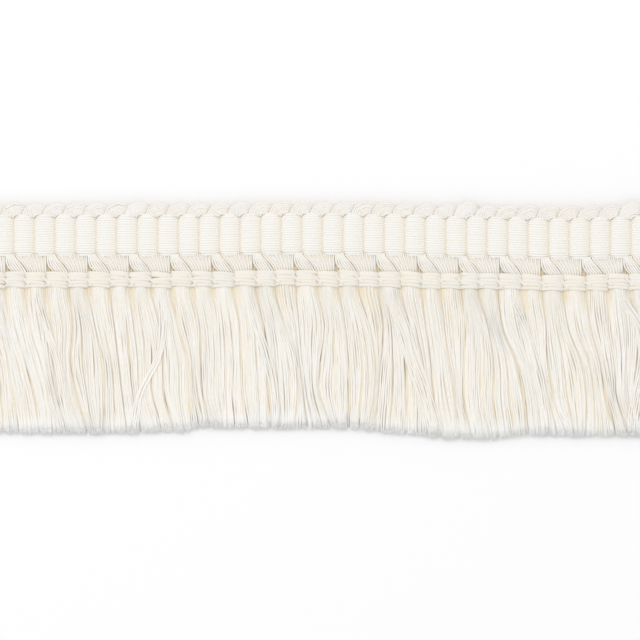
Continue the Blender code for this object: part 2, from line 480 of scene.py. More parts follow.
Sockets = bpy.types.bpy_prop_collection
Results = dict[str, bpy.types.NodeSocket]
NUMBER_SOCKET = "NodeSocketFloat"
TWIST_INPUTS = {"Plies": 3.0, "Lay mm": 2.4, "Fibre Share": 0.3}
TONE_INPUTS = {"Cloud Share": 0.25, "Speck Share": 0.5}


@dataclass
class NodeSheet:
    """Places shader nodes in one tree and joins them.

    Attributes:
        tree: the material's or the group's node tree.
    """

    tree: bpy.types.NodeTree

    def add(self, kind: str, inputs: dict | None = None, **settings: object) -> bpy.types.Node:
        """Adds a node.

        Args:
            kind: the node's type, without its ShaderNode prefix.
            inputs: values or sockets for its inputs, by name or number.
            settings: its own properties.

        Returns:
            The node.
        """
        node = self.tree.nodes.new(kind if kind.startswith("Node") else "ShaderNode" + kind)
        for key, value in settings.items():
            setattr(node, key, value)
        for key, value in (inputs or {}).items():
            if isinstance(value, bpy.types.NodeSocket):
                self.tree.links.new(value, node.inputs[key])
            else:
                node.inputs[key].default_value = value
        return node

    def math(self, operation: str, *values: object) -> bpy.types.NodeSocket:
        """A Math node's result for these values or sockets."""
        node = self.add("Math", dict(enumerate(values)), operation=operation)
        return node.outputs[0]


def shared_group(
    name: str, inputs: dict[str, float], draw: Callable[[NodeSheet, Sockets], Results]
) -> bpy.types.NodeTree:
    """A shader node group, drawn the first time that it is asked for.

    Args:
        name: the group's name.
        inputs: its number inputs, with what each is unless told.
        draw: draws its nodes on a sheet from its inputs, and tells its results by name.

    Returns:
        The group's node tree.
    """
    if name in bpy.data.node_groups:
        return bpy.data.node_groups[name]
    tree = bpy.data.node_groups.new(name, "ShaderNodeTree")
    for label, value in inputs.items():
        socket = tree.interface.new_socket(label, in_out="INPUT", socket_type=NUMBER_SOCKET)
        socket.default_value = value
    sheet = NodeSheet(tree)
    results = draw(sheet, sheet.add("NodeGroupInput").outputs)
    for label in results:
        tree.interface.new_socket(label, in_out="OUTPUT", socket_type=NUMBER_SOCKET)
    sheet.add("NodeGroupOutput", results)
    return tree


def draw_twist(sheet: NodeSheet, given: Sockets) -> Results:
    """The twist of a plied yarn and the fibres in it, from the yarn_turn attribute."""
    turn = sheet.add("Attribute", attribute_name="yarn_turn")
    parts = sheet.add("SeparateXYZ", {0: turn.outputs["Vector"]}).outputs
    angle = sheet.math("ARCTAN2", parts["Y"], parts["X"])
    advance = sheet.math("MULTIPLY", sheet.math("DIVIDE", parts["Z"], given["Lay mm"]), math.tau)
    phase = sheet.math("MULTIPLY", sheet.math("ADD", angle, advance), given["Plies"])
    strand = sheet.math("ABSOLUTE", sheet.math("COSINE", sheet.math("MULTIPLY", phase, 0.5)))
    rounded = sheet.math("POWER", strand, 0.6)
    # The fibres are noise, drawn out along the yarn and not the same from yarn to yarn.
    drawn = sheet.math("MULTIPLY", parts["Z"], 0.35)
    place = sheet.add("CombineXYZ", {0: parts["X"], 1: parts["Y"], 2: drawn}).outputs[0]
    spot = sheet.add("TexCoord").outputs["Object"]
    far = sheet.add("VectorMath", {0: spot, 1: (140, 140, 0)}, operation="MULTIPLY").outputs[0]
    place = sheet.add("VectorMath", {0: place, 1: far}, operation="ADD").outputs[0]
    fibres = sheet.add("TexNoise", {"Vector": place, "Scale": 3.4, "Detail": 3.0}).outputs[0]
    fuzz = sheet.math("MULTIPLY", fibres, given["Fibre Share"])
    return {
        "Height": sheet.math("ADD", rounded, fuzz),
        "Groove": sheet.math("SUBTRACT", 1.0, rounded),
    }


def draw_tone(sheet: NodeSheet, given: Sockets) -> Results:
    """How far the colour goes to the shaded one: painted shade and random tone from the yarn_tone
    attribute, soft clouds and fine specks.
    """
    tone = sheet.add("Attribute", attribute_name="yarn_tone").outputs["Fac"]
    shade_and_yellowing = sheet.math("SUBTRACT", 1.0, tone)
    spot = sheet.add("TexCoord").outputs["Object"]
    noise_middle = 0.45
    for share, scale in {"Cloud Share": 120.0, "Speck Share": 1500.0}.items():
        noisy = sheet.add("TexNoise", {"Vector": spot, "Scale": scale, "Detail": 2.0}).outputs[0]
        level = sheet.math("SUBTRACT", noisy, noise_middle)
        uneven = sheet.math("MULTIPLY", level, given[share])
        shade_and_yellowing = sheet.math("ADD", shade_and_yellowing, uneven)
    return {"Shade and Yellowing": sheet.add("Clamp", {0: shade_and_yellowing}).outputs[0]}


@dataclass(frozen=True)
class CottonFinish:
    """A finish of ivory cotton yarn.

    Attributes:
        name: the material's name.
        clean: the colour of a clean yarn in the light.
        shaded: the tan colour that painted shade takes, also used for the cotton's random
            yellowing.
        lay: the length of one turn of the twist, in mm.
        relief: how deep the twist is, in mm.
        groove: how much painted shade lies in the grooves of the twist, as a share.
    """

    name: str
    clean: tuple[float, float, float] = (0.93, 0.927, 0.91)
    shaded: tuple[float, float, float] = (0.91, 0.78, 0.56)
    lay: float = 1.8
    relief: float = 0.09
    groove: float = 0.12

    def material(self) -> bpy.types.Material:
        """The finish as a material."""
        material = bpy.data.materials.new(self.name)
        material.use_nodes = True
        material.node_tree.nodes.clear()
        sheet = NodeSheet(material.node_tree)
        twist_tree = shared_group("yarn_twist", TWIST_INPUTS, draw_twist)
        twist = sheet.add("Group", {"Lay mm": self.lay}, node_tree=twist_tree).outputs
        tone_tree = shared_group("cotton_tone", TONE_INPUTS, draw_tone)
        shade_and_yellowing = sheet.add("Group", node_tree=tone_tree).outputs["Shade and Yellowing"]
        # Painted shade in the grooves of the twist, on top of the painted shade and random
        # yellowing from the tone group.
        groove = sheet.math("MULTIPLY", twist["Groove"], self.groove)
        share = sheet.math("ADD", shade_and_yellowing, groove)
        # Inputs 6 and 7 and output 2 of a Mix node, counted from 0, are its colours.
        colours = {0: share, 6: (*self.clean, 1), 7: (*self.shaded, 1)}
        colour = sheet.add("Mix", colours, data_type="RGBA")
        relief = {"Height": twist["Height"], "Distance": self.relief * MM, "Strength": 0.8}
        bump = sheet.add("Bump", relief)
        shader = sheet.add(
            "BsdfPrincipled",
            {
                "Base Color": colour.outputs[2],
                "Normal": bump.outputs[0],
                "Roughness": 0.85,
                "Specular IOR Level": 0.15,
                "Sheen Weight": 0.3,
                "Sheen Roughness": 0.6,
            },
        )
        sheet.add("OutputMaterial", {"Surface": shader.outputs[0]})
        return material


# The same ivory cotton: the warp, loops, weft and tying yarn get darker clean colours than the
# fringe, painted shade that evens out how brightly each row is lit, and the frayed fibres a
# lighter one, painted light on fibres that lie in shade.
WARP_FINISH = CottonFinish(
    "warp_cotton", (0.83, 0.826, 0.81), (0.91, 0.83, 0.69), lay=3.0, relief=0.03, groove=0.08
)
LOOP_FINISH = CottonFinish("loop_cotton", (0.84, 0.83, 0.815), relief=0.06)
WEFT_FINISH = CottonFinish("weft_cotton", (0.87, 0.863, 0.845), relief=0.06)
TIE_FINISH = CottonFinish("tie_cotton", (0.79, 0.785, 0.765), relief=0.06)
FRINGE_FINISH = CottonFinish("fringe_cotton")
FRAYED_FINISH = CottonFinish(
    "frayed_cotton", (0.95, 0.95, 0.95), (0.93, 0.92, 0.9), relief=0.0, groove=0.0
)


def place_pieces(pieces: list[bpy.types.Object], finish: CottonFinish) -> None:
    """Gives pieces their finish and their body.

    Args:
        pieces: the pieces.
        finish: the finish that they share.
    """
    material = finish.material()
    for piece in pieces:
        piece.data.materials.append(material)
        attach(piece, BODY)


@dataclass
class YarnRow:
    """A row of the trim that is made of yarns.

    Attributes:
        layout: the trim's sizes.
        spinner: makes its yarns.
    """

    layout: Layout
    spinner: Spinner


@dataclass
class Heading(YarnRow):
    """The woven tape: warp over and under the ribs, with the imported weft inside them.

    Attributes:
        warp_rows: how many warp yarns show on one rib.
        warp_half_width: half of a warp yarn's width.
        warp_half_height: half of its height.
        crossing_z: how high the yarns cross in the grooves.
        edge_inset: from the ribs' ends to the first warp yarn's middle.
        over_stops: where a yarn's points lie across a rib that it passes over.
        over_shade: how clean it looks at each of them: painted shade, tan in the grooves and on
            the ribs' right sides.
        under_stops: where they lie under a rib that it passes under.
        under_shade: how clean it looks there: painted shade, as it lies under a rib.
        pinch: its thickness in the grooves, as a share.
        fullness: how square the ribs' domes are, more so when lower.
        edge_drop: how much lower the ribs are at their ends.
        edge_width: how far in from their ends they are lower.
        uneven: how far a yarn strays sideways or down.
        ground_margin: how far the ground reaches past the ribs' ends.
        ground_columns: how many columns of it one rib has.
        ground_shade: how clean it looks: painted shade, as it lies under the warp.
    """

    warp_rows: int = 17
    warp_half_width: float = 0.33
    warp_half_height: float = 0.17
    crossing_z: float = 1.2
    edge_inset: float = 0.26
    over_stops: tuple[float, ...] = (0.0, 0.05, 0.13, 0.28, 0.5, 0.72, 0.86, 0.945)
    over_shade: tuple[float, ...] = (0.52, 0.7, 0.93, 1.0, 0.96, 0.82, 0.68, 0.56)
    under_stops: tuple[float, ...] = (0.0, 0.1, 0.35, 0.65, 0.9)
    under_shade: float = 0.3
    pinch: float = 0.6
    fullness: float = 0.8
    edge_drop: float = 0.3
    edge_width: float = 1.6
    uneven: float = 0.02
    ground_margin: float = 0.35
    ground_columns: int = 8
    ground_shade: float = 0.4

    def warp_end(self, y: float, starts_over: bool, rng: random.Random) -> Yarn:
        """One warp yarn, over every second rib.

        Args:
            y: its place across the trim.
            starts_over: whether it passes over the first rib.
            rng: the source of its unevenness.

        Returns:
            The yarn.
        """
        lay = self.layout
        to_edge = min(y - lay.rib_bottom_y, lay.rib_top_y - y)
        drop = self.edge_drop * max(0.0, 1 - to_edge / self.edge_width) ** 2
        crown = lay.rib_height - self.warp_half_height
        route, swell, tones = [], [], []
        for rib in range(lay.rib_count):
            over = (rib % 2 == 0) == starts_over
            far = crown + rng.uniform(-self.uneven, 0.0) - drop if over else self.warp_half_height
            drift = stray(rng, self.uneven)
            clean = rng.uniform(0.95, 1.0)
            for stop, share in enumerate(self.over_stops if over else self.under_stops):
                x = (rib + share) * lay.rib_pitch - lay.half_length
                z = mix(self.crossing_z, far, arch(share, self.fullness))
                route.append(lay.point(x, y + drift * arch(share), z))
                swell.append(1.0 if share else self.pinch)
                # Painted shade: tan in the grooves, on the ribs' right sides and where the yarn
                # passes under a rib; the random clean share is the rib's own tone.
                tones.append(self.over_shade[stop] * clean if over else self.under_shade)
        route.append(lay.point(lay.half_length, y, self.crossing_z))
        swell.append(self.pinch)
        tones.append(self.over_shade[0])
        sizes = (self.warp_half_width, self.warp_half_height)
        phase = rng.uniform(0, TWIST_STARTS)
        return Yarn(route, ACROSS, *sizes, swell=swell, tones=tones, phase=phase)

    def build_warp(self, starts_over: bool) -> bpy.types.Object:
        """The warp yarns that cover every second rib."""
        rng = random.Random(11 + starts_over)
        low = self.layout.rib_bottom_y + self.edge_inset
        high = self.layout.rib_top_y - self.edge_inset
        spacing = (high - low) / (self.warp_rows - 1)
        offsets = [number - (0 if starts_over else 0.5) for number in range(self.warp_rows)]
        if not starts_over:
            offsets.append(self.warp_rows - 0.5)
        edge = self.edge_inset / 2
        rows = [min(max(low + spacing * offset, low - edge), high + edge) for offset in offsets]
        yarns = [self.warp_end(row, starts_over, rng) for row in rows]
        name = "heading_warp_odd" if starts_over else "heading_warp_even"
        return self.spinner.spin(name, yarns, sides=6)

    def ground_rows(self) -> list[tuple[float, float]]:
        """The rows of the ground, up the trim: where each is, and how full the ribs are there."""
        low, high = self.layout.rib_bottom_y, self.layout.rib_top_y
        return [
            (low - self.ground_margin, 0.35),
            (low + self.ground_margin, 0.8),
            (low + 3 * self.ground_margin, 0.97),
            (high - 3 * self.ground_margin, 0.97),
            (high - self.ground_margin, 0.8),
            (high + self.ground_margin, 0.55),
            (self.layout.ground_top_y - self.ground_margin, 0.35),
        ]

    def build_ground(self) -> bpy.types.Object:
        """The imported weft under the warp: a ribbed sheet that closes the tape."""
        lay, per_rib = self.layout, self.ground_columns
        rows = self.ground_rows()
        inset = 2 * self.warp_half_height
        columns = per_rib * lay.rib_count
        bm = bmesh.new()
        turn_layer = bm.verts.layers.float_vector.new("yarn_turn")
        tone_layer = bm.verts.layers.float.new("yarn_tone")
        for over in (True, False):
            grid = bmesh.ops.create_grid(
                bm, x_segments=columns, y_segments=len(rows) - 1, size=1
            )
            for vert in grid["verts"]:
                column = round((vert.co.x + 1) / 2 * columns)
                y, fullness = rows[round((vert.co.y + 1) / 2 * (len(rows) - 1))]
                x = column / per_rib * lay.rib_pitch - lay.half_length
                far = lay.rib_height - inset if over else inset
                dome = arch((column % per_rib) / per_rib, self.fullness)
                z = mix(self.crossing_z, far, mix(0.1, 1.0, dome))
                z = mix(inset, z, fullness if over else fullness * fullness)
                vert.co = (lay.point(x, y, z) + self.spinner.shift) * MM
                vert[turn_layer] = Vector((1, 0, vert.co.y / MM))
                # Painted shade over the whole ground, which lies under the warp.
                vert[tone_layer] = self.ground_shade
        rims = [edge for edge in bm.edges if edge.is_boundary]
        bmesh.ops.bridge_loops(bm, edges=rims)
        bmesh.ops.recalc_face_normals(bm, faces=bm.faces)
        return mesh_object("heading_ground", bm)


@dataclass
class TopLoops(YarnRow):
    """The weft turning over the grooves at the top edge, each loop lapped over the one before.

    Attributes:
        half_width: half of a yarn's width.
        half_height: half of its height.
        steps: how many points it has.
        arcs: how large each yarn's turn is, as a share of the outermost one.
        left: how far left of its groove the outermost yarn starts.
        right: how far right of it the innermost and the outermost yarn end, under the next loop.
        rise: how high the outermost yarn rises over the ribs.
        foot: how far below the ribs' top ends the turns start.
        uneven: how far a yarn strays in height.
        sunk: how much lower the second layer lies.
        narrower: how much smaller its turns are, for each mm that it lies lower.
        profile: the rise of a turn from its left foot to its right one.
        heights: how high it lies on the way.
        tall: how much taller some loops stand, by groove.
        more_arcs: the turns that fill such a loop.
    """

    half_width: float = 0.31
    half_height: float = 0.2
    steps: int = 13
    arcs: tuple[float, ...] = (0.1, 0.28, 0.46, 0.64, 0.82, 1.0)
    left: float = 2.9
    right: tuple[float, float] = (1.9, 3.3)
    rise: float = 2.35
    foot: float = 0.5
    uneven: float = 0.05
    sunk: float = 0.3
    narrower: float = 0.35
    profile: Table = ((0.0, 0.0), (0.2, 0.72), (0.5, 1.0), (0.75, 0.92), (1.0, 0.2))
    heights: Table = ((0.0, 1.75), (0.25, 1.95), (0.6, 1.78), (1.0, 1.2))
    tall: dict[int, float] = field(default_factory=lambda: {-9: 0.3, 7: 0.7, 15: 0.8})
    more_arcs: tuple[float, ...] = (0.37, 0.55, 0.73, 0.91)

    def loop_yarn(self, groove: int, arc: float, sunk: float, rng: random.Random) -> Yarn:
        """One yarn of a loop.

        Args:
            groove: the groove that the loop stands over, counted from the middle.
            arc: how large its turn is.
            sunk: how far below the front yarns it lies.
            rng: the source of its unevenness.

        Returns:
            The yarn.
        """
        lay = self.layout
        rise = arc * (self.rise + self.tall.get(groove, 0)) * rng.uniform(0.96, 1.04)
        height = stray(rng, self.uneven) - sunk
        route = []
        for share in even_shares(self.steps):
            aside = mix(-arc * self.left, mix(*self.right, arc), share)
            y = lay.rib_top_y - self.foot + (rise + self.foot) * eased(self.profile, share)
            z = max(self.half_height, eased(self.heights, share) + height)
            route.append(lay.point(lay.inside(groove * lay.rib_pitch + aside), y, z))
        # A random tone, and painted shade on the sunk layer.
        tone = rng.uniform(0.95, 1) - 0.5 * sunk
        phase = rng.uniform(0, TWIST_STARTS)
        return Yarn(route, UP, self.half_height, self.half_width, tone, phase=phase)

    def build(self) -> bpy.types.Object:
        """All the loops, in a front and a sunk layer."""
        rng = random.Random(23)
        last = self.layout.rib_count // 2
        yarns = [
            self.loop_yarn(groove, arc * (1 - self.narrower * sunk), sunk, rng)
            for groove in range(-last + 1, last)
            for sunk in (0.0, self.sunk)
            for arc in (*self.arcs, *(self.more_arcs if groove in self.tall else ()))
        ]
        return self.spinner.spin("top_loops", yarns)


@dataclass(frozen=True)
class RowBundle:
    """A kind of bundle in the open row.

    Attributes:
        lines: the two of the row's lines that it fills.
        count: how many yarns it has.
        reach: how far they reach above the row and below it.
        heights: for each share of the way down, how high its sides lie, how much higher its
            middle lies, and how far its lower yarns sink there, as a share.
    """

    lines: tuple[str, str]
    count: int
    reach: tuple[float, float]
    heights: Table


@dataclass
class CrossedRow(YarnRow):
    """The open row: a leaf of weft laid over a gathered flare at every second groove.

    Attributes:
        half_width: half of a yarn's width.
        half_height: half of its height.
        steps: how many points it has.
        leaf: the upper bundle of a crossing.
        leaf_sunk: how far a leaf's lowest yarns sink.
        flare: the bundle under it.
        flare_sunk: how far every second yarn of a flare sinks.
        leaf_shadow: the painted shadow of the leaf on the flare's first two yarns, as a share of
            their tone.
        flat_per_rib: how many yarns lie flat below each rib's width of the crossing.
        flat_z: how high they lie.
        flat_shade: how clean they look: nearly all painted shade, deep under the crossing.
        thin: a yarn's thickness where it leaves the ribs, as a share.
        longest_run: how far along the trim a whole yarn runs, at most.
    """

    half_width: float = 0.25
    half_height: float = 0.2
    steps: int = 11
    leaf: RowBundle = RowBundle(
        lines=("leaf_left", "leaf_right"),
        count=6,
        reach=(0.5, 0.7),
        heights=(
            (-0.12, 1.85, 0, 1),
            (0.15, 1.85, 0.2, 1),
            (0.6, 1.6, 0.58, 1),
            (1.05, 1.55, 0.4, 1),
        ),
    )
    leaf_sunk: float = 0.14
    flare: RowBundle = RowBundle(
        lines=("flare_left", "flare_right"),
        count=15,
        reach=(0.5, 0.9),
        heights=((-0.12, 1.8, 0, 0.5), (0.3, 1.6, 0.1, 0.5), (1.0, 1.3, 0.6, 1)),
    )
    flare_sunk: float = 0.28
    leaf_shadow: float = 0.8
    flat_per_rib: int = 9
    flat_z: float = 1.1
    flat_shade: float = 0.05
    thin: float = 0.9
    longest_run: float = 5.0

    def strand(self, kind: RowBundle, groove: float, number: int, sunk: float) -> list[Vector]:
        """The route of one yarn of a bundle.

        Args:
            kind: the bundle's kind.
            groove: where the pair's first groove is.
            number: which of the bundle's yarns it is, from the left.
            sunk: how far it sinks.

        Returns:
            The points.
        """
        lay = self.layout
        top, bottom = lay.rib_bottom_y, lay.knot_top_y
        across = (number + 0.5) / kind.count
        dome = arch(across, 0.6)
        heights = [(down, z + more * dome - low * sunk) for down, z, more, low in kind.heights]
        route = []
        for share in even_shares(self.steps):
            y = mix(top + kind.reach[0], bottom - kind.reach[1], share)
            down = (top - y) / (top - bottom)
            left, right = (flowing(CROSSING_LINES[line], down) for line in kind.lines)
            x = lay.inside(groove + mix(left, right, across))
            route.append(lay.point(x, y, eased(heights, down)))
        return route

    def flat_strand(self, x: float) -> list[Vector]:
        """A straight route from the ribs to the knots, low under the crossing."""
        ends = (self.layout.rib_bottom_y + 0.4, self.layout.knot_top_y - 0.5)
        shares = even_shares(self.steps)
        return [self.layout.point(x, mix(*ends, share), self.flat_z) for share in shares]

    def yarn(self, route: list[Vector], tone: float) -> Yarn:
        """A yarn of this row along a route, with a twist that starts by its place."""
        phase = route[0].x * 3.1 % TWIST_STARTS
        swell = [mix(self.thin, 1.0, smooth(step / 5)) for step in range(self.steps)]
        return Yarn(route, ALONG, self.half_width, self.half_height, tone, swell, phase=phase)

    def build(self) -> bpy.types.Object:
        """The whole row: leaves, flares and the yarns that lie flat below them."""
        rng = random.Random(31)
        lay = self.layout
        yarns = []
        for pair in range(-1, lay.rib_count // 2):
            groove = (2 * pair + 1) * lay.rib_pitch - lay.half_length
            for number in range(self.leaf.count):
                route = self.strand(self.leaf, groove, number, rng.uniform(0.0, self.leaf_sunk))
                yarns.append(self.yarn(route, rng.uniform(0.92, 1)))
            for number in range(self.flare.count):
                sunk = self.flare_sunk * (number % 2)
                # Painted shade: the leaf's shadow on the flare's first two yarns, and more shade
                # on its sunk yarns.
                shade = self.leaf_shadow if number < 2 else 1.0
                route = self.strand(self.flare, groove, number, sunk)
                yarns.append(self.yarn(route, shade * (rng.uniform(0.9, 1) - 0.4 * sunk)))
        flat_pitch = lay.rib_pitch / self.flat_per_rib
        for number in range(lay.rib_count * self.flat_per_rib):
            route = self.flat_strand((number + 0.5) * flat_pitch - lay.half_length)
            # Painted shade: these yarns lie deep under the crossing.
            yarns.append(self.yarn(route, self.flat_shade))
        # Yarns that a cut end of the trim would cut or bend are left out.
        midway = self.steps // 2 - 1
        inside = [yarn for yarn in yarns if abs(yarn.route[midway].x) < lay.half_length]
        runs = [abs(yarn.route[0].x - yarn.route[-1].x) for yarn in inside]
        whole = [yarn for yarn, run in zip(inside, runs) if run < self.longest_run]
        return self.spinner.spin("crossed_yarns", whole)


@dataclass
class KnotRow(YarnRow):
    """The tying yarn, wound round each bundle.

    Attributes:
        half_height: half of the yarn's height.
        steps: how many points a turn has.
        leaf_turns: where the turns lie below a leaf, as shares of the row from its top, and
            half the width of each.
        flare_turns: the same below a flare, whose folded yarns make the first, wide one.
        crest: where down the row the knots are the highest, as a share.
        fall: how much lower they would be a whole row further.
        gap: from the gap line to a turn's side.
        uneven: how far a turn strays along the trim, across it and down.
        slopes: how far a turn may slope from its left to its right side.
        bow: how far it bows up on the knot's face.
        square: how square its outline is, along the trim and in height.
        link_reach: how far the yarn between two knots reaches under each.
        link_heights: how high it is at its ends and in its middle.
        link_half_width: half of its width.
    """

    half_height: float = 0.22
    steps: int = 17
    leaf_turns: Table = ((0.06, 0.44), (0.27, 0.42), (0.48, 0.42), (0.69, 0.42), (0.9, 0.44))
    flare_turns: Table = ((0.13, 0.66), (0.43, 0.42), (0.65, 0.42), (0.88, 0.44))
    crest: float = 0.4
    fall: float = 0.45
    gap: float = 0.02
    uneven: tuple[float, float, float] = (0.06, 0.05, 0.06)
    slopes: tuple[float, float] = (-0.27, 0.03)
    bow: float = 0.2
    square: tuple[float, float] = (0.95, 0.9)
    link_reach: float = 1.1
    link_heights: tuple[float, float] = (2.32, 2.0)
    link_half_width: float = 0.3

    def turn(
        self, bundle: int, down: float, half_width: float, clean: float, rng: random.Random
    ) -> Yarn:
        """One turn of the tying yarn.

        Args:
            bundle: the bundle that it goes round.
            down: its place down the row, as a share.
            half_width: half of its width.
            clean: how clean it is.
            rng: the source of its unevenness.

        Returns:
            The yarn, whose ends meet under the bundle.
        """
        lay = self.layout
        left, right = GAP_LINES[bundle][0], GAP_LINES[bundle + 1][0]
        half = (right - left) / 2 - self.gap
        middle = (left + right) / 2 + stray(rng, self.uneven[0])
        y = mix(lay.knot_top_y, lay.knot_bottom_y, down) + stray(rng, self.uneven[1])
        slope = rng.uniform(*self.slopes)
        top = lay.knot_height - self.half_height - self.fall * abs(down - self.crest)
        top -= rng.uniform(0, self.uneven[2])
        route = []
        for share in even_shares(self.steps):
            angle = -math.pi / 2 - math.tau * share
            cosine, sine = math.cos(angle), math.sin(angle)
            x = middle + half * math.copysign(abs(cosine) ** self.square[0], cosine)
            rise = math.copysign(abs(sine) ** self.square[1], sine)
            bow = self.bow * max(0.0, sine) + slope * cosine
            z = mix(self.half_height, top, (1 + rise) / 2)
            route.append(lay.point(x, y + bow, z))
        tone = clean * rng.uniform(0.92, 1.0)
        phase = rng.uniform(0, TWIST_STARTS)
        return Yarn(route, ACROSS, half_width, self.half_height, tone, phase=phase)

    def link(self, line: int, rng: random.Random) -> Yarn:
        """The tying yarn on its way from one knot down to the next.

        Args:
            line: the gap line that it crosses.
            rng: the source of its unevenness.

        Returns:
            The yarn, whose ends lie under the turns of both knots.
        """
        lay = self.layout
        start = lay.knot_top_y - rng.uniform(0.4, 0.9)
        end = lay.knot_bottom_y + rng.uniform(0.5, 1.2)
        route = []
        for share in even_shares(self.steps):
            x = GAP_LINES[line][0] + mix(-self.link_reach, self.link_reach, share)
            z = mix(*self.link_heights, arch(share, 1.0))
            route.append(lay.point(x, mix(start, end, smooth(share)), z))
        phase = rng.uniform(0, TWIST_STARTS)
        return Yarn(route, ACROSS, self.link_half_width, self.half_height, 0.9, phase=phase)

    def build(self) -> bpy.types.Object:
        """Every turn of every knot, and the yarn between them."""
        rng = random.Random(47)
        yarns = [self.link(line, rng) for line in range(1, self.layout.bundle_count)]
        for bundle in range(self.layout.bundle_count):
            sag, clean = stray(rng, 0.05), rng.uniform(0.85, 1.0)
            for down, half_width in self.flare_turns if bundle % 2 else self.leaf_turns:
                yarns.append(self.turn(bundle, down + sag, half_width, clean, rng))
        return self.spinner.spin("tie_turns", yarns, sides=10)


class Layer(Enum):
    """The layers of the fringe, from the surface up."""

    UNDER = "under"
    BOTTOM = "bottom"
    MIDDLE = "middle"
    TOP = "top"

    @property
    def piece(self) -> str:
        """The name of the layer's piece."""
        return f"fringe_{self.value}"


@dataclass(frozen=True)
class LayerSizes:
    """How one layer of the fringe lies.

    Attributes:
        height: of its yarns above the surface.
        spacing: between its yarns.
        shorter: how much shorter than the cut line its yarns are.
        tone: how clean they look, from 0 to 1: painted shade, deeper for the lower layers.
        gathered: how far the knot draws them together, as a share of the bundle's width.
        opening: the share of the depth over which they spread again.
        drawn: how far its locks draw together, as a share of their width.
        uneven: how far above or below the layer its locks lie.
        parted: how far it opens where the fringe parts, as a share.
    """

    height: float
    spacing: float
    shorter: float
    tone: float
    gathered: float = 1.0
    opening: float = 0.2
    drawn: float = 0.0
    uneven: float = 0.0
    parted: float = 0.0


@dataclass(frozen=True)
class Lock:
    """A few neighbouring yarns of one bundle that lie together.

    Attributes:
        middle: where it is across the bundle, from 0 to 1.
        high: where it ends.
        lean: how far it strays sideways by the cut ends.
        lift: how far above its layer it lies.
        clean: how clean it is, as a share.
    """

    middle: float
    high: float
    lean: float
    lift: float
    clean: float


